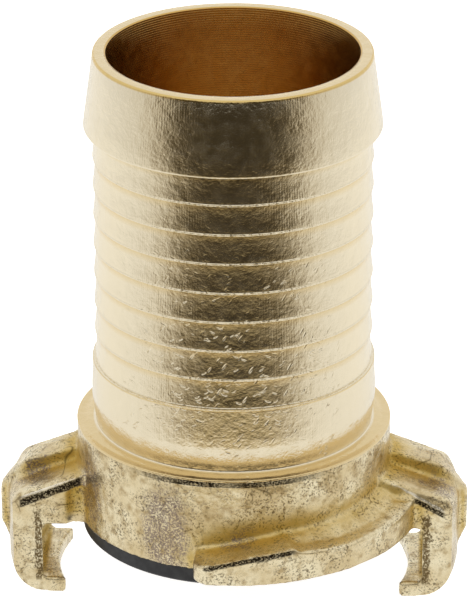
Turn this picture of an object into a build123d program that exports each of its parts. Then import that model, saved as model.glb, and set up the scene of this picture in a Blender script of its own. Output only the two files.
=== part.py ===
from build123d import *
import math
import os

# Claw coupling half with a hose tail: one hot-pressed, turned brass body and one rubber seal.
# Units are millimetres.  The part stands on its two claws at Z = 0 with the tail pointing up
# the +Z axis.  The claws lie on the X axis.  Azimuths are degrees from -Y towards +X.
# Radii are worked out from the bore outwards, through named walls and clearances.

# ---- hose tail, turned -------------------------------------------------------------------
BORE_RADIUS = 17.25           # straight waterway
RIM_WALL = 1.85               # tail's wall at its open end
RIM_CHAMFER_OUT = 0.15
RIM_CHAMFER_IN = 0.2
BARB_WALL = 3.2               # wall at the lower, widest edge of the end barb
BARB_LENGTH = 10.6
BARB_EDGE_LAND = 0.25         # narrow cylinder left on the barb's edge
RIB_WALL = 2.0                # wall at the sharp lower edge of each sawtooth rib
RIB_DEPTH = 0.3
RIB_PITCH = 4.243
RIB_COUNT = 8
FIRST_RIB_DROP = 4.41         # barb's step to the first rib's edge
ROOT_LENGTH = 9.29            # plain root below the last rib's edge
ROOT_CREST_WALL = 2.48        # wall at the widest place of the root
ROOT_CREST_HEIGHT = 4.0       # above the collar's top face
ROOT_NECK_WALL = 2.0
ROOT_CORNER = 0.4             # chamfer left by the tool where the root meets the collar

# ---- collar ------------------------------------------------------------------------------
COLLAR_WALL = 4.65            # collar's outside to the bore
COLLAR_HEIGHT = 13.85
COLLAR_EDGE = 0.12            # burr-breaking chamfer at the top edge

# ---- ramped flange beside each claw ------------------------------------------------------
FLANGE_WIDTH = 4.7            # proud of the collar
FLANGE_START = -11.5          # azimuth of the free end
FLANGE_END_CORNER = 2.6       # plan rounding of the free end
FLANGE_FOOT_CHAMFER = 0.3     # broken lower outer edge
FLANGE_LAND_HEIGHT = 0.7
SEAT_CANT = 0.2               # fall, across its width, of the track that the mating lip rides on
SEAT_CLEARANCE = 0.3          # that track starts this far inside the lip's edge
# azimuth, depth below the collar's top face at the collar and at the flange's rim
RAMP_STATIONS = (
    (FLANGE_START, 10.45, 11.2),
    (7.0, 9.05, 9.2),
    (20.0, 8.2, 8.5),
    (21.5, 8.2, 9.15),
    (38.0, 8.0, 9.75),
    (52.0, 7.7, 9.45),
    (62.0, 7.3, 9.1),
    (78.0, 6.3, 8.6),
)
RAMP_STEP = 6.0               # most degrees between two sections of the flange

# ---- claws, forged -----------------------------------------------------------------------
CLAW_REACH_BELOW = 10.55      # collar's lower face to the soles of the claws
CLAW_HALF_WIDTH = 8.1
CLAW_ROOT_INSET = 0.8         # under its top band the arm is narrower where it meets the collar
CLAW_ROOT_TAPER = 1.0         # over which it widens to the full claw
CLAW_ROOT_FILLET = 1.5        # hollow between the arm's side and the collar
CLAW_ROOT_FLARE = 60.0        # degrees that the hollow turns before it meets the collar
HOOK_CLEARANCE = 1.0          # the other half's flange to the leg
LIP_REACH = 3.0               # inwards from the leg
LEG_THICKNESS = 4.1
LIP_THICKNESS = 2.3
CLAW_HEEL_RADIUS = 4.5        # rounding between the leg's back and the sole
CLAW_SHOULDER_RADIUS = 2.2    # rounding between the arm's top and the leg's back
CLAW_CORNER_RADIUS = 1.3      # upright corners of the leg
LIP_EDGE_CHAMFER = 0.4
HOOK_CHAMFER = 0.3            # left in the inside corners of the hook
ARM_TOP_DROP = 6.3            # collar's top face down to the arm's top, at the collar
ARM_TOP_SLOPE = 20.0          # degrees, falling outwards
LAND_PROUD = 0.25             # trimmed flash left standing along the die's parting line
LAND_END_INSET = 2.4          # that land stops short of the leg's back
# depth of the land's upper and lower edge below the arm's top, at the collar and at the leg
FREE_SIDE_LAND = ((0.2, 1.75), (0.8, 2.2))
FLANGE_SIDE_LAND = ((0.2, 1.7), (1.85, 2.7))

# ---- stiffening rib over each claw -------------------------------------------------------
SPINE_HALF_WIDTH = 2.3
SPINE_BEND_HALF_WIDTH = 1.5   # where its shoulder has narrowed it
SPINE_NOSE_HALF_WIDTH = 0.75  # left at its outermost edge
SPINE_RISE = 2.5              # above the arm's top, where the rib's own top bends down
SPINE_TOP_SLOPE = 14.0        # degrees, so that the rib is lower beside the collar
SPINE_PROUD = 1.25            # beyond the leg's back
SPINE_TAPER_INSET = 2.7       # the rib's top bends down this far inside the leg's back
SPINE_BEND_INSET = 1.1        # and its sides have closed in this far inside it
SPINE_SHOULDER_FALL = 4.6     # height from the taper's start to where the back turns upright
SPINE_SHOULDER_ROUNDING = 2.5
SPINE_FOOT_HEIGHT = 7.5       # lower end of the rib's back face above the soles
SPINE_FOOT_RUNOUT = 2.4       # height over which the rib's end runs back into the leg

# ---- seal --------------------------------------------------------------------------------
SEAL_HEAD_INSET = 0.65        # seal's head stays this far inside the collar's outside
SEAL_HEAD_HEIGHT = 2.4
SEAL_HEAD_CHAMFER = 0.3
SEAL_BORE_CLEARANCE = 0.25    # seal's inside stands back from the waterway
SEAL_NECK_WALL = 1.9          # neck that enters the body
SEAL_NECK_HEIGHT = 1.6
SEAL_BEAD_PROUD = 0.7         # bead that snaps into the groove
SEAL_BEAD_HEIGHT = 2.2

# ---- worked out --------------------------------------------------------------------------
rim_radius = BORE_RADIUS + RIM_WALL
barb_radius = BORE_RADIUS + BARB_WALL
rib_radius = BORE_RADIUS + RIB_WALL
valley_radius = rib_radius - RIB_DEPTH
collar_radius = BORE_RADIUS + COLLAR_WALL
flange_radius = collar_radius + FLANGE_WIDTH
leg_inner_radius = flange_radius + HOOK_CLEARANCE
lip_inner_radius = leg_inner_radius - LIP_REACH
claw_outer_radius = leg_inner_radius + LEG_THICKNESS
spine_radius = claw_outer_radius + SPINE_PROUD
seat_inner_radius = lip_inner_radius - SEAT_CLEARANCE
seal_inner_radius = BORE_RADIUS + SEAL_BORE_CLEARANCE
seal_neck_radius = seal_inner_radius + SEAL_NECK_WALL
seal_bead_radius = seal_neck_radius + SEAL_BEAD_PROUD
seal_head_radius = collar_radius - SEAL_HEAD_INSET
overlap_radius = 0.5 * (seal_bead_radius + collar_radius)   # claws and flanges root inside the collar

face_z = CLAW_REACH_BELOW                                   # collar's lower face
collar_top_z = face_z + COLLAR_HEIGHT
root_top_z = collar_top_z + ROOT_LENGTH                     # last rib's edge
barb_edge_z = root_top_z + (RIB_COUNT - 1) * RIB_PITCH + FIRST_RIB_DROP
rim_z = barb_edge_z + BARB_LENGTH
neck_top_z = face_z + SEAL_NECK_HEIGHT
bead_top_z = neck_top_z + SEAL_BEAD_HEIGHT
head_z = face_z - SEAL_HEAD_HEIGHT


def polar(radius, azimuth, z=0.0):
    """Point at a radius and an azimuth measured from -Y towards +X."""
    angle = math.radians(azimuth - 90)
    return Vector(radius * math.cos(angle), radius * math.sin(angle), z)


def turned(profile):
    """Full turn of a radius-height face about the Z axis."""
    return revolve(Plane.XZ * profile, Axis.Z, 360)


def sector(profile, start, stop):
    """Radius-height face turned about Z from one azimuth to another."""
    return revolve(Rot(0, 0, start - 90) * (Plane.XZ * profile), Axis.Z, stop - start)


def near(face, point):
    """The face's corner at a point."""
    return face.vertices().sort_by_distance(Vector(*point))[0]


def rounded(face, corners):
    """Face with the named corners rounded; corners are (point, radius) pairs."""
    for point, radius in corners:
        face = fillet(near(face, point), radius)
    return face


def bevelled(face, corners):
    """Face with the named corners cut off; corners are (point, length) pairs."""
    for point, length in corners:
        face = chamfer(near(face, point), length)
    return face


def polygon(*points):
    return make_face(Polyline(*points, close=True))


def upright(plan):
    """Plan face raised from the soles to the rim, to be intersected with turned shapes."""
    return extrude(plan, rim_z, dir=(0, 0, 1))


# ---- body, turned portion ----------------------------------------------------------------
def rib_profile():
    """Sawtooth ribs from the barb down to the plain root, as radius-height points."""
    points = [(valley_radius, barb_edge_z)]
    for i in range(RIB_COUNT):
        edge = barb_edge_z - FIRST_RIB_DROP - i * RIB_PITCH
        points += [(rib_radius, edge), (valley_radius, edge)]
    return points


def tail_and_collar():
    neck_corner = (BORE_RADIUS + ROOT_NECK_WALL, collar_top_z)
    face = polygon(
        (BORE_RADIUS, face_z),
        (BORE_RADIUS, rim_z),
        (rim_radius, rim_z),
        (barb_radius, barb_edge_z + BARB_EDGE_LAND),
        (barb_radius, barb_edge_z),
        *rib_profile(),
        (BORE_RADIUS + ROOT_CREST_WALL, collar_top_z + ROOT_CREST_HEIGHT),
        neck_corner,
        (collar_radius, collar_top_z),
        (collar_radius, face_z),
    )
    edges = [
        ((BORE_RADIUS, rim_z), RIM_CHAMFER_IN),
        ((rim_radius, rim_z), RIM_CHAMFER_OUT),
        (neck_corner, ROOT_CORNER),
        ((collar_radius, collar_top_z), COLLAR_EDGE),
    ]
    return turned(bevelled(face, edges))


# ---- claws -------------------------------------------------------------------------------
def arm_top(x):
    """Height of the claw arm's sloping top at a distance from the bore's axis."""
    fall = math.tan(math.radians(ARM_TOP_SLOPE)) * (x - collar_radius)
    return collar_top_z - ARM_TOP_DROP - fall


def on_circle(radius, y):
    """Point of a circle about the axis at a given Y, on the +X side."""
    return (math.sqrt(radius**2 - y**2), y)


def side_slab(*outline):
    """Outline seen along Y, as a slab wider than the claw."""
    return extrude(Plane.XZ * polygon(*outline), 2 * CLAW_HALF_WIDTH, both=True)


def hook_profile():
    """Arm, leg and inward lip of a claw, up to a level top that is cut to a slope later."""
    top = arm_top(overlap_radius)
    face = polygon(
        (overlap_radius, face_z),
        (leg_inner_radius, face_z),
        (leg_inner_radius, LIP_THICKNESS),
        (lip_inner_radius, LIP_THICKNESS),
        (lip_inner_radius, 0),
        (claw_outer_radius, 0),
        (claw_outer_radius, top),
        (overlap_radius, top),
    )
    edges = [
        ((leg_inner_radius, face_z), HOOK_CHAMFER),
        ((leg_inner_radius, LIP_THICKNESS), HOOK_CHAMFER),
        ((lip_inner_radius, 0), LIP_EDGE_CHAMFER),
    ]
    return rounded(bevelled(face, edges), [((claw_outer_radius, 0), CLAW_HEEL_RADIUS)])


def hook():
    """Turned hook under the arm's flat sloping top, with the shoulder rounded."""
    reach = 2 * claw_outer_radius
    under_slope = side_slab((0, 0), (reach, 0), (reach, arm_top(reach)), (0, arm_top(0)))
    solid = sector(hook_profile(), 60, 120) & under_slope
    shoulder = (claw_outer_radius, 0, arm_top(claw_outer_radius))
    return fillet(solid.edges().sort_by_distance(shoulder)[0], CLAW_SHOULDER_RADIUS)


def plain_plan(half_width):
    """Claw seen from above: straight ends and a concentric back with rounded corners."""
    back_x = on_circle(claw_outer_radius, half_width)[0]
    strip = Pos(claw_outer_radius, 0) * Rectangle(2 * claw_outer_radius, 2 * half_width)
    corners = [((back_x, side * half_width), CLAW_CORNER_RADIUS) for side in (-1, 1)]
    return rounded(Circle(claw_outer_radius) & strip, corners)


def hollowed_plan():
    """The same, drawn in where the arm meets the collar and flared into it."""
    root_half_width = CLAW_HALF_WIDTH - CLAW_ROOT_INSET
    full_x = on_circle(lip_inner_radius, CLAW_HALF_WIDTH)[0]
    root_x = on_circle(collar_radius, root_half_width)[0]
    flare = 2 * CLAW_ROOT_FILLET
    flare_x = root_x - flare * math.cos(math.radians(CLAW_ROOT_FLARE))
    flare_y = root_half_width + flare * math.sin(math.radians(CLAW_ROOT_FLARE))
    edge = [
        (flare_x, flare_y),
        (root_x, root_half_width),
        (full_x - CLAW_ROOT_TAPER, root_half_width),
        (full_x, CLAW_HALF_WIDTH),
        (2 * claw_outer_radius, CLAW_HALF_WIDTH),
    ]
    strip = polygon(*[(x, -y) for x, y in edge], *reversed(edge))
    corners = [((root_x, side * root_half_width), CLAW_ROOT_FILLET) for side in (-1, 1)]
    return plain_plan(flare_y) & rounded(strip, corners)


def land(side, depths):
    """Trimmed flash across one end of the claw; side is -1 towards -Y and 1 towards +Y."""
    half_width = CLAW_HALF_WIDTH + LAND_PROUD
    inner = on_circle(overlap_radius, half_width)[0]
    outer = claw_outer_radius - LAND_END_INSET
    (inner_upper, inner_lower), (outer_upper, outer_lower) = depths
    outline = polygon(
        (inner, arm_top(inner) - inner_upper),
        (inner, arm_top(inner) - inner_lower),
        (outer, arm_top(outer) - outer_lower),
        (outer, arm_top(outer) - outer_upper),
    )
    return extrude(Plane.XZ * outline, half_width, dir=(0, side, 0))


def top_band():
    """Upper layer of the arm, which keeps the claw's full width right up to the collar."""
    inner = on_circle(overlap_radius, CLAW_HALF_WIDTH)[0]
    depth = FREE_SIDE_LAND[0][1]
    outer = claw_outer_radius - CLAW_SHOULDER_RADIUS
    outline = polygon(
        (inner, arm_top(inner)),
        (inner, arm_top(inner) - depth),
        (outer, arm_top(outer) - depth),
        (outer, arm_top(outer)),
    )
    return extrude(Plane.XZ * outline, CLAW_HALF_WIDTH, both=True)


def spine():
    """Rib that stiffens a claw over the arm and down the leg's back."""
    taper_start = claw_outer_radius - SPINE_TAPER_INSET
    taper_top = arm_top(taper_start) + SPINE_RISE
    root_top = taper_top + math.tan(math.radians(SPINE_TOP_SLOPE)) * (taper_start - overlap_radius)
    nose_top = taper_top - SPINE_SHOULDER_FALL
    core_radius = 0.5 * (leg_inner_radius + claw_outer_radius)
    foot = SPINE_FOOT_HEIGHT
    side = polygon(
        (overlap_radius, root_top),
        (taper_start, taper_top),
        (spine_radius, nose_top),
        (spine_radius, foot),
        (claw_outer_radius, foot - SPINE_FOOT_RUNOUT),
        (core_radius, foot - SPINE_FOOT_RUNOUT),
        (core_radius, face_z + HOOK_CHAMFER),
        (overlap_radius, face_z + HOOK_CHAMFER),
    )
    bends = [(taper_start, taper_top), (spine_radius, nose_top)]
    side = rounded(side, [(bend, SPINE_SHOULDER_ROUNDING) for bend in bends])
    edge = [
        (0, SPINE_HALF_WIDTH),
        (taper_start, SPINE_HALF_WIDTH),
        (claw_outer_radius - SPINE_BEND_INSET, SPINE_BEND_HALF_WIDTH),
        (spine_radius, SPINE_NOSE_HALF_WIDTH),
    ]
    plan = polygon(*[(x, -y) for x, y in edge], *reversed(edge))
    return sector(side, 75, 105) & upright(plan)


def claw():
    shape = hook()
    trimmed = (shape & upright(hollowed_plan())) + (shape & upright(plain_plan(CLAW_HALF_WIDTH)) & top_band())
    return trimmed + land(-1, FLANGE_SIDE_LAND) + land(1, FREE_SIDE_LAND) + spine()


# ---- flanges -----------------------------------------------------------------------------
def ramp_stations():
    """The stations with more put evenly between them, so that the ruled flange stays round."""
    fine = []
    for here, there in zip(RAMP_STATIONS, RAMP_STATIONS[1:]):
        steps = math.ceil((there[0] - here[0]) / RAMP_STEP)
        for i in range(steps):
            fine.append([a + (b - a) * i / steps for a, b in zip(here, there)])
    return fine + [RAMP_STATIONS[-1]]


def ramp_section(azimuth, inner_depth, rim_depth, lowered):
    """Upright radial section of a flange, drawn past its root and its rim to be trimmed later."""
    before_root = seal_neck_radius
    past_rim = leg_inner_radius + LEG_THICKNESS
    fall = SEAT_CANT * (past_rim - flange_radius) / (flange_radius - seat_inner_radius)
    top = collar_top_z - lowered
    outline = [
        (before_root, face_z),
        (past_rim, face_z),
        (past_rim, top - rim_depth - fall),
        (seat_inner_radius, top - rim_depth + SEAT_CANT),
        (collar_radius, top - inner_depth),
        (before_root, top - inner_depth),
    ]
    return Face(Wire.make_polygon([polar(r, azimuth, z) for r, z in outline]))


def ramp_solid(lowered=0.0):
    return loft([ramp_section(*station, lowered) for station in ramp_stations()], ruled=True)


def flange_plan(radius):
    """Flange seen from above, with the free end's outer corner rounded."""
    start, stop = RAMP_STATIONS[0][0], RAMP_STATIONS[-1][0]
    reach = 2 * radius
    wedge = polygon(
        (0, 0),
        polar(reach, start),
        polar(reach, 0.5 * (start + stop)),
        polar(reach, stop),
    )
    face = (Circle(radius) - Circle(overlap_radius)) & wedge
    return rounded(face, [(tuple(polar(radius, start)), FLANGE_END_CORNER)])


def flange():
    """Ramped flange that the other half's claw turns onto, in one piece with the collar."""
    core = ramp_solid() & upright(flange_plan(flange_radius))
    foot = core.edges().group_by(Axis.Z)[0].filter_by(
        lambda edge: math.hypot(*tuple(edge.center())[:2]) > seat_inner_radius
    )
    core = chamfer(foot, FLANGE_FOOT_CHAMFER)
    band = ramp_solid() - ramp_solid(FLANGE_LAND_HEIGHT)
    return core + (band & upright(flange_plan(flange_radius + LAND_PROUD)))


# ---- bore end that takes the seal --------------------------------------------------------
def seal_pocket():
    """Counterbore for the seal's neck and the groove for its bead."""
    inside = BORE_RADIUS - COLLAR_EDGE
    return turned(
        polygon(
            (inside, face_z),
            (seal_neck_radius, face_z),
            (seal_neck_radius, neck_top_z),
            (seal_bead_radius, neck_top_z),
            (seal_bead_radius, bead_top_z),
            (inside, bead_top_z),
        )
    )


def coupling_body():
    half = claw() + flange()
    body = tail_and_collar() + half + Rot(0, 0, 180) * half
    return body - seal_pocket()


# ---- seal --------------------------------------------------------------------------------
def seal_ring():
    """Rubber ring: a head that shows under the collar and a beaded neck in the body."""
    face = polygon(
        (seal_inner_radius, head_z),
        (seal_head_radius, head_z),
        (seal_head_radius, face_z),
        (seal_neck_radius, face_z),
        (seal_neck_radius, neck_top_z),
        (seal_bead_radius, neck_top_z),
        (seal_bead_radius, bead_top_z),
        (seal_inner_radius, bead_top_z),
    )
    lower_edges = [(seal_head_radius, head_z), (seal_inner_radius, head_z)]
    return turned(bevelled(face, [(corner, SEAL_HEAD_CHAMFER) for corner in lower_edges]))


os.makedirs("parts", exist_ok=True)
for name, shape in (("coupling_body", coupling_body()), ("seal_ring", seal_ring())):
    export_step(shape, f"parts/{name}.step")
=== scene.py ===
import math

import bpy
from mathutils import Euler, Matrix


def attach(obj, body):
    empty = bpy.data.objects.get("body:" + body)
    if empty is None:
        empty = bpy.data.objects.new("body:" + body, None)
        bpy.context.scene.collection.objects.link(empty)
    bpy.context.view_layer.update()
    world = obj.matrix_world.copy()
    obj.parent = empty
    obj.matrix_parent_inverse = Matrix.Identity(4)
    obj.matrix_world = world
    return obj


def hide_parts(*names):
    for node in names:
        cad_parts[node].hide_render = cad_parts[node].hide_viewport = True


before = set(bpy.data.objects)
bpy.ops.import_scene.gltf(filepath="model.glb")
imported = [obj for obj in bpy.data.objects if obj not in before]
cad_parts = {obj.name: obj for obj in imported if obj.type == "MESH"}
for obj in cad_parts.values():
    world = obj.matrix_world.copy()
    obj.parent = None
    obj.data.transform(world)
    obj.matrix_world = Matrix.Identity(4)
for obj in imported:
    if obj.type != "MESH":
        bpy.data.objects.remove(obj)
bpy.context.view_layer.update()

# ---- studio camera -----------------------------------------------------------------------
# A long lens rather more than half a metre from the coupling, looking down on it at 24
# degrees and a little from the right of the claws' end faces.
CAMERA_DISTANCE = 0.5661        # from the bore's axis, level
CAMERA_HEIGHT = 0.289023
CAMERA_TURN = math.radians(2.0)  # round the bore's axis
CAMERA_PITCH = math.radians(23.585)
CAMERA_ROLL = math.radians(-0.12)
camera_data = bpy.data.cameras.new("studio_camera")
camera_data.sensor_width = 36.0
camera_data.lens = 267.9
camera_data.shift_x = 0.0016
camera_data.shift_y = -0.0031
camera_data.clip_start = 0.05
camera_data.clip_end = 20.0
camera = bpy.data.objects.new("studio_camera", camera_data)
bpy.context.scene.collection.objects.link(camera)
camera.location = (
    math.sin(CAMERA_TURN) * CAMERA_DISTANCE,
    -math.cos(CAMERA_TURN) * CAMERA_DISTANCE,
    CAMERA_HEIGHT,
)
look = Euler((math.pi / 2 - CAMERA_PITCH, 0, CAMERA_TURN)).to_matrix()
camera.rotation_euler = (look @ Matrix.Rotation(CAMERA_ROLL, 3, "Z")).to_euler()
bpy.context.scene.camera = camera
bpy.context.scene.view_settings.view_transform = "Standard"


# ---- studio surroundings -----------------------------------------------------------------
# A white tent, open on the camera's side, where the room is dark: turned brass mirrors that
# gap as a brown band.  From there the walls grow brighter all the way round to the back.
def add(tree, kind, links=None, stops=(), out=0, **settings):
    """Adds one shader node and gives back one of its outputs.

    links gives a value, or another node's output, for an input's name or number.  stops are
    the (place, colour or grey) pairs of a colour ramp.
    """
    node = tree.nodes.new("ShaderNode" + kind)
    for name, value in settings.items():
        setattr(node, name, value)
    for key, value in (links or {}).items():
        if isinstance(value, bpy.types.NodeSocket):
            tree.links.new(value, node.inputs[key])
        else:
            node.inputs[key].default_value = value
    if stops:
        elements = node.color_ramp.elements
        while len(elements) < len(stops):
            elements.new(1.0)
        for element, (place, tone) in zip(elements, stops):
            element.position = place
            element.color = tone if isinstance(tone, tuple) else (tone, tone, tone, 1)
    return node.outputs[out] if node.outputs else None


def colour(code):
    """Linear colour of an sRGB hex code."""
    parts = [int(code[i : i + 2], 16) / 255 for i in (1, 3, 5)]
    linear = [c / 12.92 if c <= 0.04045 else ((c + 0.055) / 1.055) ** 2.4 for c in parts]
    return (*linear, 1.0)


# degrees round from the camera's side, as a share of half a turn, and the tent's colour
GAP_STOPS = (
    (0.0, colour("#352f25")),
    (0.20, colour("#3e3729")),
    (0.265, colour("#665b47")),
    (0.33, colour("#bfb7a9")),
    (0.42, colour("#dcdad6")),
    (0.60, colour("#eaebef")),
    (0.80, colour("#fafbff")),
    (1.0, colour("#ffffff")),
)
# the same for the sheet, whose dark part is narrower
SHEET_STOPS = (
    (0.0, colour("#403726")),
    (0.12, colour("#4a402f")),
    (0.20, colour("#786b53")),
    (0.26, colour("#b6ac98")),
    (0.33, colour("#e6e3dd")),
    (0.45, colour("#f5f6f8")),
    (0.60, colour("#ffffff")),
)
ROOF = colour("#f2f2f2")
ROOF_START = 0.18               # sine of the height at which the tent's roof begins


def turn_from_gap(tree, vector):
    """0 towards the camera's side, 1 straight behind, for a direction or a place."""
    east = add(tree, "SeparateXYZ", {0: vector}, out=0)
    north = add(tree, "SeparateXYZ", {0: vector}, out=1)
    south = add(tree, "Math", {0: north, 1: -1.0}, operation="MULTIPLY")
    angle = add(tree, "Math", {0: east, 1: south}, operation="ARCTAN2")
    off = add(tree, "Math", {0: angle, 1: CAMERA_TURN}, operation="SUBTRACT")
    size = add(tree, "Math", {0: off}, operation="ABSOLUTE")
    return add(tree, "Math", {0: size, 1: math.pi}, operation="DIVIDE")


world = bpy.data.worlds.new("white_tent")
bpy.context.scene.world = world
world.use_nodes = True
tree = world.node_tree
tree.nodes.clear()
direction = add(tree, "TexCoord", out="Generated")
walls = add(tree, "ValToRGB", {0: turn_from_gap(tree, direction)}, GAP_STOPS)
height = add(tree, "SeparateXYZ", {0: direction}, out=2)
above = add(tree, "Math", {0: height, 1: ROOF_START}, operation="SUBTRACT")
overhead = add(tree, "Math", {0: above, 1: 4.0}, operation="MULTIPLY", use_clamp=True)
tent = add(tree, "Mix", {0: overhead, 6: walls, 7: ROOF}, out=2, data_type="RGBA")
seen = add(tree, "LightPath", out="Is Camera Ray")
shown = add(tree, "Mix", {0: seen, 6: tent, 7: (1, 1, 1, 1)}, out=2, data_type="RGBA")
add(tree, "OutputWorld", {0: add(tree, "Background", {0: shown})})

# White sheet under the coupling.  It ends in the dark room a hand's breadth towards the
# camera, which is what the turned faces mirror.
SHEET_WHITE = colour("#f7f7f7")
SHEET_WARM = colour("#f2e0b4")
FLOOR_HALF = 1.5
SHEET_REACH = 0.40
bpy.ops.object.select_all(action="DESELECT")
bpy.ops.mesh.primitive_plane_add(size=2 * FLOOR_HALF, location=(0, 0, 0))
floor = bpy.context.object
floor.name = "paper_sheet"
paper = bpy.data.materials.new("white_paper")
paper.use_nodes = True
tree = paper.node_tree
tree.nodes.clear()
place = add(tree, "TexCoord", out="Object")
turn = turn_from_gap(tree, place)
walls = add(tree, "ValToRGB", {0: turn}, GAP_STOPS)
ending = add(tree, "ValToRGB", {0: turn}, SHEET_STOPS)
reach = add(tree, "VectorMath", {0: place}, out="Value", operation="LENGTH")
share = add(tree, "Math", {0: reach, 1: SHEET_REACH}, operation="DIVIDE")
beyond = add(tree, "ValToRGB", {0: share}, ((0.15, 0.0), (0.19, 1.0)))
cast = add(tree, "ValToRGB", {0: turn}, ((0.12, SHEET_WARM), (0.30, SHEET_WHITE)))
sheet = add(tree, "Mix", {0: beyond, 6: SHEET_WHITE, 7: cast}, out=2, data_type="RGBA")
FADE_STOPS = ((0.16, 0.0), (0.21, 0.40), (0.26, 0.66), (0.31, 0.76), (0.38, 0.86), (0.50, 1.0))
fade = add(tree, "ValToRGB", {0: share}, FADE_STOPS)
gone = add(tree, "ValToRGB", {0: share}, ((0.45, 0.0), (1.0, 1.0)))
mirrored = add(tree, "Mix", {0: fade, 6: sheet, 7: ending}, out=2, data_type="RGBA")
mirrored = add(tree, "Mix", {0: gone, 6: mirrored, 7: walls}, out=2, data_type="RGBA")
glow = add(tree, "Emission", {0: mirrored})
lit = add(tree, "BsdfDiffuse", {0: SHEET_WHITE})
white = add(tree, "Emission", {0: (1, 1, 1, 1), 1: 0.85})
shadowed = add(tree, "AddShader", {0: lit, 1: white})
seen = add(tree, "LightPath", out="Is Camera Ray")
add(tree, "OutputMaterial", {0: add(tree, "MixShader", {0: seen, 1: glow, 2: shadowed})})
floor.data.materials.append(paper)


# ---- pressed collar, claws and flanges ---------------------------------------------------
# The lower half of the one-piece brass body, as it leaves the hot press: a grainy skin with
# soft edges, yellow in the hollows that tumbling doesn't reach and deepened there by painted
# reflected light, and black torn bands where the flash was trimmed off, darkened further by
# painted shade.
LAND_Z = 0.0244                # collar's turned top face
SEAL_NECK_R = 0.0194           # counterbore that the seal's neck fills
SKIN_VOXEL = 0.00033
ARM_ROOT_R = 0.0219            # where a claw's arm leaves the collar
ARM_TOP_Z = 0.0181             # arm's top there
ARM_FALL = math.tan(math.radians(20.0))
cad_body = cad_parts["coupling_body"]
bpy.ops.object.select_all(action="DESELECT")
claws = bpy.data.objects.new("pressed_claws", cad_body.data.copy())
bpy.context.scene.collection.objects.link(claws)
claws.select_set(True)
bpy.context.view_layer.objects.active = claws
bpy.ops.object.mode_set(mode="EDIT")
bpy.ops.mesh.select_all(action="SELECT")
bpy.ops.mesh.remove_doubles(threshold=2e-6)
bpy.ops.object.mode_set(mode="OBJECT")


def finish_with(piece, kind, **settings):
    """Gives a piece a modifier and applies it."""
    bpy.context.view_layer.objects.active = piece
    modifier = piece.modifiers.new(kind.lower(), kind)
    for name, value in settings.items():
        setattr(modifier, name, value)
    bpy.ops.object.modifier_apply(modifier=modifier.name)


# the turned tail and bore are cut away: they are the next section's piece
for radius, bottom, top in ((SEAL_NECK_R, -0.01, 0.1), (0.05, LAND_Z - 0.0002, 0.1)):
    bpy.ops.object.select_all(action="DESELECT")
    bpy.ops.mesh.primitive_cylinder_add(
        vertices=256, radius=radius, depth=top - bottom, location=(0, 0, 0.5 * (top + bottom))
    )
    cutter = bpy.context.object
    finish_with(claws, "BOOLEAN", operation="DIFFERENCE", object=cutter, solver="EXACT")
    bpy.data.objects.remove(cutter)
finish_with(claws, "REMESH", mode="VOXEL", voxel_size=SKIN_VOXEL, use_smooth_shade=True)
finish_with(claws, "SMOOTH", factor=0.5, iterations=3)
roots = claws.vertex_groups.new(name="spine_roots")
for vertex in claws.data.vertices:
    reach = math.hypot(vertex.co.x, vertex.co.y)
    above = vertex.co.z - (ARM_TOP_Z - ARM_FALL * (reach - ARM_ROOT_R))
    if reach > ARM_ROOT_R - 0.0006 and -0.0006 < above < 0.0016:
        roots.add([vertex.index], 1.0, "REPLACE")
finish_with(claws, "SMOOTH", factor=0.5, iterations=12, vertex_group="spine_roots")
for name, grain, depth in (("press_waves", 0.0045, 0.00014), ("press_grain", 0.0013, 0.00006)):
    texture = bpy.data.textures.new(name, "CLOUDS")
    texture.noise_scale = grain
    texture.noise_depth = 2
    finish_with(
        claws, "DISPLACE", texture=texture, texture_coords="LOCAL", strength=depth, mid_level=0.8
    )
for vertex in claws.data.vertices:
    vertex.co.z = max(vertex.co.z, 0.0)      # the soles are worn flat

# Hot-pressed brass, tumbled: pale and bright on the edges, as rubbed metal and a painted highlight,
# yellow in the hollows, partly the untumbled metal and partly painted reflected light, and
# speckled all over with brown pits a third of a millimetre apart.
PRESSED_PALE = colour("#f0e3bf")
PRESSED_TAN = colour("#dcc89c")
PRESSED_BROWN = colour("#a78d5c")
PRESSED_GOLD = colour("#dabb60")
WORN_AND_HIGHLIGHT_PALE = colour("#f8f0dc")
SCALE_STAIN = colour("#87766c")
PIT_BROWN = colour("#54411f")
STRIP_BROWN = colour("#75603b")
TORN_AND_SHADE_BLACK = colour("#2b2317")
CLAW_SIDE = 8.1                 # millimetres, as are the sizes below
FREE_TEAR_AND_SHADE = (0.45, 0.06, 1.2)   # torn and painted-shade band's depth under the arm, its growth outwards, its height
FLANGE_TEAR_AND_SHADE = (0.40, 0.22, 0.85)
FLANGE_SHADED_TEAR_START = 25.2
FLANGE_SIDE = 26.6
RAMP_NOTCH = 229.0              # -X times Y where the flange's ramp has its notch
LEG_STRIP = (26.6, 27.6)        # torn strip beside the leg's inner edge, in X
LEG_STRIP_HEIGHTS = (2.0, 12.6)
EDGE_TEAR = (23.3, 24.12)       # torn line left under the collar's turned edge, in Z
EDGE_TEAR_RADII = (21.6, 22.2)
EDGE_TEAR_FRONT = (-1.0, 10.5)  # it is ragged and strongest over the collar's front and back, in X
CLAW_END = (21.0, 29.6)         # X of a claw's flat end faces
HOOK_SIDE = ((20.0, 26.3), (-1.0, 7.9), (0.0, 12.0))    # X, Y and Z of the hook's inner faces
FLANGE_RIM_START = 8.8          # Y at which the flange's rim comes out from beside the claw
RUB_START = (22.4, 22.8)        # radii over which rubbed edges and their painted highlight set in, outside the collar
BEYOND = 400.0                  # more than any value on the part
STAIN_SQUEEZE = 0.55            # a stain's width as a share of its height
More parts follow.
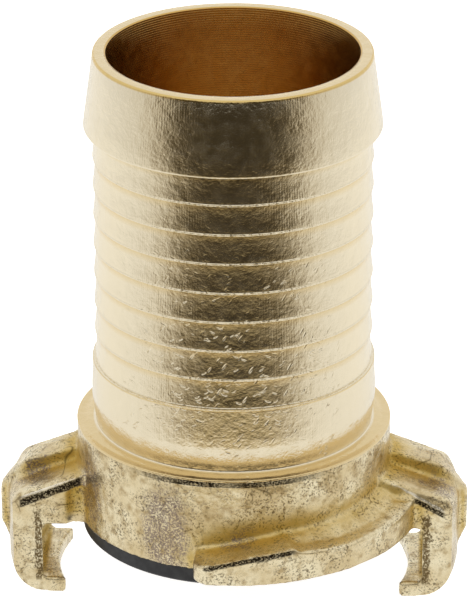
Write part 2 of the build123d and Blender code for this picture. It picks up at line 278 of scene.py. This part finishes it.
DIE_STAINS = (                  # each one's centre and size
    ((-8.9, -20.1, 15.8), 4.3),
    ((-19.5, -10.0, 17.0), 3.4),
    ((1.5, -21.9, 11.5), 3.4),
    ((28.6, -4.5, 15.0), 2.8),
    ((-27.5, -4.0, 16.0), 3.0),
)
skin = bpy.data.materials.new("hot_pressed_brass")
skin.use_nodes = True
tree = skin.node_tree
tree.nodes.clear()
metres = add(tree, "TexCoord", out="Object")
place = add(tree, "VectorMath", {0: metres, 3: 1000.0}, operation="SCALE")
across = add(tree, "SeparateXYZ", {0: place}, out=0)
along = add(tree, "SeparateXYZ", {0: place}, out=1)
z = add(tree, "SeparateXYZ", {0: place}, out=2)
x = add(tree, "Math", {0: across}, operation="ABSOLUTE")
y = add(tree, "Math", {0: along}, operation="ABSOLUTE")
level = add(tree, "VectorMath", {0: place, 1: (1, 1, 0)}, operation="MULTIPLY")
radius = add(tree, "VectorMath", {0: level}, out="Value", operation="LENGTH")
open_sky = add(tree, "AmbientOcclusion", {"Distance": 0.005}, out="AO", samples=12, only_local=True)
sharpness = add(tree, "NewGeometry", out="Pointiness")


def band(tree, value, low, high, soft, within=1.0):
    """The share within between two values, and 0 outside them, with soft edges."""
    start = add(tree, "MapRange", {0: value, 1: low - soft, 2: low + soft, 4: within})
    stop = add(tree, "MapRange", {0: value, 1: high - soft, 2: high + soft, 3: 1.0, 4: 0.0})
    return add(tree, "Math", {0: start, 1: stop}, operation="MULTIPLY")


def coated(tree, tone, coats):
    """Lays colours over a tone, each by its mask times its strength."""
    for mask, strength, coat in coats:
        share = add(tree, "Math", {0: mask, 1: strength}, operation="MULTIPLY", use_clamp=True)
        tone = add(tree, "Mix", {0: share, 6: tone, 7: coat}, out=2, data_type="RGBA")
    return tone


wide = add(tree, "TexNoise", {"Vector": place, "Scale": 1 / 5.0, "Detail": 3.0})
waves = add(tree, "TexNoise", {"Vector": place, "Scale": 1 / 2.4, "Detail": 2.0})
mottle = add(tree, "TexNoise", {"Vector": place, "Scale": 1 / 1.3, "Detail": 4.0})
grit = add(tree, "TexNoise", {"Vector": place, "Scale": 1 / 0.32, "Detail": 2.0, "Roughness": 0.7})
fine = add(tree, "TexNoise", {"Vector": place, "Scale": 1 / 0.25, "Detail": 2.0})
patch = add(tree, "ValToRGB", {0: wide}, ((0.36, 0.0), (0.62, 1.0)))
cloud = add(tree, "ValToRGB", {0: mottle}, ((0.50, 0.0), (0.70, 0.7)))
# painted reflected light: gold where ambient occlusion finds a crease, standing in for light bouncing
# between brass faces, over the untumbled hollows' own yellow
hollow_gold_and_bounce = add(tree, "ValToRGB", {0: open_sky}, ((0.50, 1.0), (0.75, 0.9), (0.88, 0.35), (0.96, 0.0)))
hook_side = 1.0
for value, limits, soft in zip((x, y, z), HOOK_SIDE, (0.3, 0.1, 0.5)):
    hook_side = band(tree, value, *limits, soft, hook_side)
reached = add(tree, "Math", {0: 1.0, 1: hook_side}, operation="SUBTRACT")
hollow_gold_and_bounce = add(tree, "Math", {0: hollow_gold_and_bounce, 1: reached}, operation="MULTIPLY", use_clamp=True)
coats = [(patch, 1.0, PRESSED_TAN), (cloud, 1.0, PRESSED_BROWN), (hollow_gold_and_bounce, 1.0, PRESSED_GOLD)]

# pits, denser in some places, fold lines, and stains that the die's grease burned on
crowd = add(tree, "TexNoise", {"Vector": place, "Scale": 1 / 3.0, "Detail": 2.0})
density = add(tree, "ValToRGB", {0: crowd}, ((0.38, 0.15), (0.60, 1.0)))
pits = add(tree, "ValToRGB", {0: grit}, ((0.53, 0.0), (0.62, 1.0)))
pits = add(tree, "Math", {0: pits, 1: density}, operation="MULTIPLY", use_clamp=True)
fold = add(tree, "TexNoise", {"Vector": place, "Scale": 1 / 9.0, "Detail": 1.5})
fold = add(tree, "ValToRGB", {0: fold}, ((0.494, 0.0), (0.4985, 1.0), (0.5015, 1.0), (0.506, 0.0)))
folded = add(tree, "ValToRGB", {0: wide}, ((0.55, 0.0), (0.60, 0.7)))
coats += [(pits, 0.75, PIT_BROWN), (fold, folded, PIT_BROWN)]
upright = add(tree, "VectorMath", {0: place, 1: (1, 1, STAIN_SQUEEZE)}, operation="MULTIPLY")
grain = add(tree, "ValToRGB", {0: fine}, ((0.40, 0.0), (0.56, 1.0)))
for (east, north, up), size in DIE_STAINS:
    centre = (east, north, up * STAIN_SQUEEZE)
    offset = add(tree, "VectorMath", {0: upright, 1: centre}, out="Value", operation="DISTANCE")
    offset = add(tree, "Math", {0: mottle, 1: 5.0, 2: offset}, operation="MULTIPLY_ADD")
    stain = add(tree, "MapRange", {0: offset, 1: 0.6 * size + 2.5, 2: size + 2.5, 3: 0.85, 4: 0.0})
    coats.append((stain, grain, SCALE_STAIN))
# painted highlight: convex edges go pale as rubbed brass and as the highlight that a sharp edge
# catches
rubbed_and_highlit = add(tree, "ValToRGB", {0: sharpness}, ((0.56, 0.0), (0.64, 1.0)))
outside_collar = add(tree, "MapRange", {0: radius, 1: RUB_START[0], 2: RUB_START[1]})
coats.append((rubbed_and_highlit, outside_collar, WORN_AND_HIGHLIGHT_PALE))

# torn metal where the flash was trimmed: bands on the claws' ends, painted darker than torn
# metal alone as the shade their proud faces mirror, each under a painted highlight along the
# arm's edge; a line under the flange's upper edge up to its notch, painted dark the same way; a
# burr under the collar's turned edge and a strip down each leg
outwards = add(tree, "Math", {0: x, 1: 1000 * ARM_ROOT_R}, operation="SUBTRACT")
fallen = add(tree, "Math", {0: outwards, 1: -ARM_FALL, 2: 1000 * ARM_TOP_Z}, operation="MULTIPLY_ADD")
depth = add(tree, "Math", {0: fallen, 1: z}, operation="SUBTRACT")
depth = add(tree, "Math", {0: mottle, 1: 0.5, 2: depth}, operation="MULTIPLY_ADD")
depth = add(tree, "Math", {0: depth, 1: 0.25}, operation="SUBTRACT")
twist = add(tree, "Math", {0: across, 1: along}, operation="MULTIPLY")
free_side = add(tree, "Math", {0: twist, 1: 0.0}, operation="GREATER_THAN")
flange_side = add(tree, "Math", {0: twist, 1: 0.0}, operation="LESS_THAN")
tears_and_shade = []
for side, start, shaded_tear in ((free_side, 0.0, FREE_TEAR_AND_SHADE), (flange_side, FLANGE_SHADED_TEAR_START, FLANGE_TEAR_AND_SHADE)):
    first, growth, height = shaded_tear
    moved = add(tree, "Math", {0: outwards, 1: -growth, 2: depth}, operation="MULTIPLY_ADD")
    end_face = band(tree, x, *CLAW_END, 0.2, side)
    end_face = band(tree, y, CLAW_SIDE - 0.05, CLAW_SIDE + 0.5, 0.05, end_face)
    # painted highlight: a bright line along the arm's edge above each band, where the edge catches the
    # tent's roof
    coats.append((band(tree, moved, first - 0.45, first - 0.1, 0.08, end_face), 0.8, WORN_AND_HIGHLIGHT_PALE))
    end_face = band(tree, x, start, BEYOND, 0.3, end_face)
    tears_and_shade.append(band(tree, moved, first, first + height, 0.12, end_face))
rim_land = band(tree, radius, FLANGE_SIDE + 0.04, FLANGE_SIDE + 0.6, 0.04)
rim_land = band(tree, y, FLANGE_RIM_START, BEYOND, 0.3, rim_land)
tears_and_shade.append(band(tree, twist, -RAMP_NOTCH, BEYOND, 12.0, rim_land))
ragged = add(tree, "ValToRGB", {0: grit}, ((0.34, 0.1), (0.42, 1.0)))
burr = band(tree, x, *EDGE_TEAR_FRONT, 3.5, ragged)
burr = band(tree, radius, *EDGE_TEAR_RADII, 0.05, burr)
tears_and_shade.append(band(tree, z, *EDGE_TEAR, 0.05, burr))
torn_and_shade = 0.0
for shaded_tear in tears_and_shade:
    torn_and_shade = add(tree, "Math", {0: torn_and_shade, 1: shaded_tear}, operation="ADD", use_clamp=True)
speck = add(tree, "ValToRGB", {0: fine}, ((0.50, 1.0), (0.62, 0.35)))
wander = add(tree, "Math", {0: mottle, 1: 1.6, 2: x}, operation="MULTIPLY_ADD")
wander = add(tree, "Math", {0: wander, 1: 0.8}, operation="SUBTRACT")
granular = add(tree, "ValToRGB", {0: grit}, ((0.42, 0.15), (0.50, 1.0)))
strip = band(tree, wander, *LEG_STRIP, 0.06, granular)
strip = band(tree, y, CLAW_SIDE - 0.3, CLAW_SIDE + 0.3, 0.02, strip)
strip = band(tree, z, *LEG_STRIP_HEIGHTS, 0.3, strip)
# the torn bands' black is partly torn metal and partly painted shade
coats += [(torn_and_shade, speck, TORN_AND_SHADE_BLACK), (strip, 0.9, STRIP_BROWN)]
tone = coated(tree, PRESSED_PALE, coats)
torn_and_shade = add(tree, "Math", {0: torn_and_shade, 1: strip}, operation="ADD", use_clamp=True)

relief = 0.0
for height, weight in ((waves, 1.0), (mottle, 0.35), (grit, 0.16), (pits, -0.2), (torn_and_shade, 0.3)):
    relief = add(tree, "Math", {0: height, 1: weight, 2: relief}, operation="MULTIPLY_ADD")
bump = add(tree, "Bump", {"Height": relief, "Strength": 1.0, "Distance": 0.00016})
rough = add(tree, "ValToRGB", {0: wide}, ((0.3, 0.18), (0.7, 0.3)))
for mask, weight in ((torn_and_shade, 0.3), (hollow_gold_and_bounce, 0.4)):
    rough = add(tree, "Math", {0: mask, 1: weight, 2: rough}, operation="MULTIPLY_ADD", use_clamp=True)
surface = {"Base Color": tone, "Metallic": 1.0, "Roughness": rough, "Normal": bump}
add(tree, "OutputMaterial", {0: add(tree, "BsdfPrincipled", surface)})
claws.data.materials.clear()
claws.data.materials.append(skin)
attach(claws, "root")
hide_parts("coupling_body")

# ---- turned tail and bore ----------------------------------------------------------------
# The upper half of the same body, finished on a lathe: a barb and eight shallow sawtooth
# ribs whose edges are broken by a touch of the tool, and a bore with a fine feed mark.
TURNS = 288                     # facets round the tail
BORE_R = 0.01725
RIM_R = 0.0191
RIM_Z = 0.078401
BARB_R = 0.02045
BARB_EDGE_Z = 0.067801
VALLEY_R = 0.01895
RIB_R = 0.01925
RIB_PITCH = 0.004243
FIRST_RIB_DROP = 0.00441
RIB_COUNT = 8
EDGE_ROUND = 0.0006
EDGE_ROUND_END = -22            # degrees; the tool's undercut begins there
UNDERCUT = 0.00002              # lift of each flank's top, where the tool ran out
ROOT_TOP_R = 0.0196
ROOT_CREST_R = 0.01973
ROOT_CREST_Z = 0.0284
NECK_R = 0.01925
COLLAR_R = 0.0219
BORE_FOOT_Z = 0.01435           # the seal's counterbore lies below it
BORE_RING = 0.0032              # height of one ring of the bore's mesh


def arc(radius, height, size, start, stop, steps=4):
    """Points of an arc in the radius-height plane; angles in degrees, 0 outwards, 90 up."""
    turns = [math.radians(start + (stop - start) * i / steps) for i in range(steps + 1)]
    return [(radius + size * math.cos(a), height + size * math.sin(a)) for a in turns]


def flank(top, bottom):
    """One sawtooth: a hollow under the edge above that swells to its own rounded edge."""
    edge_top = bottom - EDGE_ROUND * math.sin(math.radians(EDGE_ROUND_END))
    points = []
    for share in (0.0, 0.07, 0.14, 0.26, 0.4, 0.55, 0.7, 0.85):
        swell = (RIB_R - VALLEY_R) * max(0.0, (share - 0.14) / 0.86) ** 1.6
        swell += UNDERCUT * max(0.0, 1 - share / 0.14)
        points.append((VALLEY_R + swell, top - (top - edge_top) * share))
    return points + arc(RIB_R - EDGE_ROUND, edge_top, EDGE_ROUND, 0, EDGE_ROUND_END)


outline = [(SEAL_NECK_R, BORE_FOOT_Z), (BORE_R, BORE_FOOT_Z)]
outline += [(BORE_R, BORE_FOOT_Z + 0.00005 + BORE_RING * i) for i in range(20)]
outline += arc(BORE_R + 0.0002, RIM_Z - 0.0002, 0.0002, 180, 90)
outline += arc(RIM_R - 0.0003, RIM_Z - 0.0003, 0.0003, 90, 8)
outline += [(RIM_R + (BARB_R - RIM_R) * s, RIM_Z - 0.0003 - 0.0099 * s) for s in (0.25, 0.5, 0.75)]
outline += arc(BARB_R - 0.00035, BARB_EDGE_Z + 0.00035, 0.00035, 7, -90, 6)
edge = BARB_EDGE_Z
for i in range(RIB_COUNT):
    below = BARB_EDGE_Z - FIRST_RIB_DROP - i * RIB_PITCH
    outline += flank(edge - 0.00002, below)
    edge = below
# the last rib has no rounded edge: the root swells at once under it, then stands almost upright
del outline[-5:]
outline += [(RIB_R - 0.00002, edge + 0.0001), (ROOT_TOP_R - 0.00008, edge + 0.00002)]
outline += [(ROOT_TOP_R, edge - 0.00006)]
swell = ROOT_CREST_R - ROOT_TOP_R
outline += [(ROOT_TOP_R + swell * s**2, edge - 0.0002 - 0.0038 * s) for s in (0.3, 0.6, 1)]
outline += arc(ROOT_CREST_R - 0.004, ROOT_CREST_Z, 0.004, 0, -9, 6)
outline += [(NECK_R + 0.00006, LAND_Z + 0.0006), (NECK_R, LAND_Z + 0.0003)]
outline += arc(NECK_R + 0.0002, LAND_Z + 0.0002, 0.0002, 180, 270, 4)
outline += [(0.0204, LAND_Z), (0.02055, LAND_Z - 0.00012), (0.0212, LAND_Z - 0.00012)]
outline += arc(COLLAR_R - 0.00015, LAND_Z - 0.00015, 0.00015, 90, 0)
outline += [(COLLAR_R, LAND_Z - 0.0003), (SEAL_NECK_R + 0.0003, LAND_Z - 0.0004)]

bpy.ops.object.select_all(action="DESELECT")
first_r, first_z = outline[0]
bpy.ops.mesh.primitive_circle_add(vertices=TURNS, radius=first_r, location=(0, 0, 0))
tail = bpy.context.object
tail.name = "turned_tail"
bpy.ops.object.mode_set(mode="EDIT")
bpy.ops.mesh.select_all(action="SELECT")
bpy.ops.transform.translate(value=(0, 0, first_z))
for (r0, z0), (r1, z1) in zip(outline, outline[1:] + outline[:1]):
    bpy.ops.mesh.extrude_region_move(TRANSFORM_OT_translate={"value": (0, 0, z1 - z0)})
    bpy.ops.transform.resize(value=(r1 / r0, r1 / r0, 1))
bpy.ops.mesh.select_all(action="SELECT")
bpy.ops.mesh.remove_doubles(threshold=1e-6)
bpy.ops.mesh.normals_make_consistent(inside=False)
bpy.ops.object.mode_set(mode="OBJECT")
bpy.ops.object.shade_smooth_by_angle(angle=math.radians(40))
knocks = bpy.data.textures.new("tumbling_knocks", "CLOUDS")
knocks.noise_scale = 0.0011
knocks.noise_depth = 1
finish_with(tail, "DISPLACE", texture=knocks, texture_coords="LOCAL", strength=0.00003)
for vertex in tail.data.vertices:
    vertex.co.z = min(vertex.co.z, RIM_Z)    # the rim is faced off flat

# Turned brass: a satin mirror with the tool's chatter, knocks from other parts in the bin and,
# in the bore, feed marks that give back a deep gold.  The bore's deep gold and the gold on the
# collar's turned top face are painted reflected light, and the gold in the hollow under each
# rib's edge is painted shade.
TURNED_PALE = colour("#efe2c4")
BORE_BOUNCE_GOLD = colour("#d3ab66")
EDGE_GOLD = colour("#dcb964")
FEED_PITCH = 0.34               # millimetres, as are the sizes below
CHATTER_MARKS = 330             # round the tail, drawn coarser than the tool leaves them
BORE_SKIN = (10.0, 17.5)        # radii that count as the bore
RIM_FACE = (17.3, 18.9)         # radii of the rim's flat face
RIM_CORNER = (18.85, 19.4)      # and of its outer corner
RIM_HEIGHTS = (78.0, 79.0)
LEDGE = (19.6, 23.0)            # radii of the collar's turned top face
LEDGE_HEIGHTS = (24.0, 25.3)
RIBBED_HEIGHTS = (33.5, 68.0)
KNOCKS_THIN = (44.0, 58.0)      # heights between which the knocks thin out upwards
KNOCKED_TURN = 0.85             # radians to each side of the front that the knocks reach
UNROLLED_R = 19.3               # radius at which the tail's skin is unrolled
turned = bpy.data.materials.new("turned_brass")
turned.use_nodes = True
tree = turned.node_tree
tree.nodes.clear()
metres = add(tree, "TexCoord", out="Object")
place = add(tree, "VectorMath", {0: metres, 3: 1000.0}, operation="SCALE")
x = add(tree, "SeparateXYZ", {0: place}, out=0)
y = add(tree, "SeparateXYZ", {0: place}, out=1)
z = add(tree, "SeparateXYZ", {0: place}, out=2)
level = add(tree, "VectorMath", {0: place, 1: (1, 1, 0)}, operation="MULTIPLY")
radius = add(tree, "VectorMath", {0: level}, out="Value", operation="LENGTH")
inside = band(tree, radius, *BORE_SKIN, 0.08)
outside = add(tree, "Math", {0: 1.0, 1: inside}, operation="SUBTRACT")
top = band(tree, z, *RIM_HEIGHTS, 0.1)
rim_edge = band(tree, radius, *RIM_CORNER, 0.08, top)
rim = band(tree, radius, *RIM_FACE, 0.1, top)
ledge = band(tree, radius, *LEDGE, 0.1, band(tree, z, *LEDGE_HEIGHTS, 0.25))
ribbed = band(tree, z, *RIBBED_HEIGHTS, 0.1, outside)
# painted shade: gold in the hollow just under each rib's edge
ribs_down = add(tree, "Math", {0: z, 1: 1000 * (BARB_EDGE_Z - FIRST_RIB_DROP)}, operation="SUBTRACT")
rib_phase = add(tree, "Math", {0: ribs_down, 1: 1000 * RIB_PITCH}, operation="DIVIDE")
rib_phase = add(tree, "Math", {0: rib_phase}, operation="FRACT")
under_edge_shade_gold = add(tree, "MapRange", {0: rib_phase, 1: 0.72, 2: 1.0, 3: 0.0, 4: ribbed})
edge_tears = add(tree, "MapRange", {0: rib_phase, 1: 0.05, 2: 0.08, 3: ribbed, 4: 0.0})
coats = (
    # painted reflected light: the bore's deep gold, standing in for light bouncing inside it
    (inside, 1.0, BORE_BOUNCE_GOLD),
    (rim_edge, 0.8, EDGE_GOLD),
    # painted reflected light: gold on the collar's turned top face, where the tail's wall gives back
    # gold
    (ledge, 0.5, EDGE_GOLD),
    (rim, 0.4, EDGE_GOLD),
    # painted shade under each rib's edge
    (under_edge_shade_gold, 0.5, EDGE_GOLD),
)
tone = coated(tree, TURNED_PALE, coats)

south = add(tree, "Math", {0: y, 1: -1.0}, operation="MULTIPLY")
around = add(tree, "Math", {0: x, 1: south}, operation="ARCTAN2")
unrolled = add(tree, "Math", {0: around, 1: UNROLLED_R}, operation="MULTIPLY")
unrolled = add(tree, "CombineXYZ", {0: unrolled, 1: z})
marks = add(tree, "Math", {0: around, 1: float(CHATTER_MARKS)}, operation="MULTIPLY")
chatter = add(tree, "Math", {0: marks}, operation="SINE")
feed = add(tree, "Math", {0: z, 1: 2 * math.pi / FEED_PITCH}, operation="MULTIPLY")
feed = add(tree, "Math", {0: feed}, operation="SINE")
wide = add(tree, "TexNoise", {"Vector": place, "Scale": 1 / 7.0, "Detail": 2.0})
blotch = add(tree, "TexNoise", {"Vector": place, "Scale": 1 / 1.7, "Detail": 4.0, "Roughness": 0.6})
fine = add(tree, "TexNoise", {"Vector": place, "Scale": 1 / 0.4, "Detail": 2.0})
chattered = add(tree, "ValToRGB", {0: wide}, ((0.45, 0.0), (0.6, 1.0)))
knocked = add(tree, "ValToRGB", {0: wide}, ((0.46, 1.0), (0.58, 0.15)))
lower = add(tree, "MapRange", {0: z, 1: KNOCKS_THIN[0], 2: KNOCKS_THIN[1], 3: 1.0, 4: 0.1})
knocked = add(tree, "Math", {0: knocked, 1: lower}, operation="MULTIPLY", use_clamp=True)
knocked = band(tree, around, -KNOCKED_TURN, KNOCKED_TURN, 0.15, knocked)
knock = 0.0
for turn, spacing in ((28.0, 1.0), (-20.0, 1.25), (55.0, 1.5)):
    slant = {0: unrolled, "Rotation": (0, 0, math.radians(turn)), "Scale": (2.1, 0.6, 1.0)}
    slant = add(tree, "Mapping", slant, vector_type="TEXTURE")
    dash = add(tree, "TexVoronoi", {"Vector": slant, "Scale": 1 / spacing, "Randomness": 1.0})
    dash = add(tree, "ValToRGB", {0: dash}, ((0.08, 1.0), (0.20, 0.0)))
    knock = add(tree, "Math", {0: dash, 1: knock}, operation="ADD", use_clamp=True)
heights = (
    (blotch, outside, 1.0),
    (fine, outside, 0.25),
    (fine, edge_tears, 1.0),
    (chatter, chattered, 0.05),
    (knock, knocked, -0.6),
    (feed, inside, 0.16),
)
relief = 0.0
for height, where, weight in heights:
    kept = add(tree, "Math", {0: height, 1: where}, operation="MULTIPLY", use_clamp=True)
    relief = add(tree, "Math", {0: kept, 1: weight, 2: relief}, operation="MULTIPLY_ADD")
bump = add(tree, "Bump", {"Height": relief, "Strength": 1.0, "Distance": 0.00012})
rough = add(tree, "ValToRGB", {0: blotch}, ((0.35, 0.15), (0.65, 0.26)))
surface = {"Base Color": tone, "Metallic": 1.0, "Roughness": rough, "Normal": bump}
add(tree, "OutputMaterial", {0: add(tree, "BsdfPrincipled", surface)})
tail.data.materials.append(turned)
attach(tail, "root")
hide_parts("coupling_body")

# ---- face seal ---------------------------------------------------------------------------
# Moulded nitrile rubber ring, snapped into the groove under the collar: near black, with the
# dull sheen of a moulded skin.
NITRILE_BLACK = colour("#232324")
NITRILE_DUST = colour("#383838")
rubber = bpy.data.materials.new("nitrile_rubber")
rubber.use_nodes = True
tree = rubber.node_tree
tree.nodes.clear()
metres = add(tree, "TexCoord", out="Object")
place = add(tree, "VectorMath", {0: metres, 3: 1000.0}, operation="SCALE")
dust = add(tree, "TexNoise", {"Vector": place, "Scale": 1 / 1.2, "Detail": 3.0})
dusty = add(tree, "ValToRGB", {0: dust}, ((0.4, 0.0), (0.75, 1.0)))
tone = add(tree, "Mix", {0: dusty, 6: NITRILE_BLACK, 7: NITRILE_DUST}, out=2, data_type="RGBA")
skin_grain = add(tree, "TexNoise", {"Vector": place, "Scale": 1 / 0.5, "Detail": 3.0})
bump = add(tree, "Bump", {"Height": skin_grain, "Strength": 0.3, "Distance": 0.0001})
surface = {"Base Color": tone, "Roughness": 0.55, "Normal": bump}
add(tree, "OutputMaterial", {0: add(tree, "BsdfPrincipled", surface)})
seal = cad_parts["seal_ring"]
seal.data.materials.clear()
seal.data.materials.append(rubber)
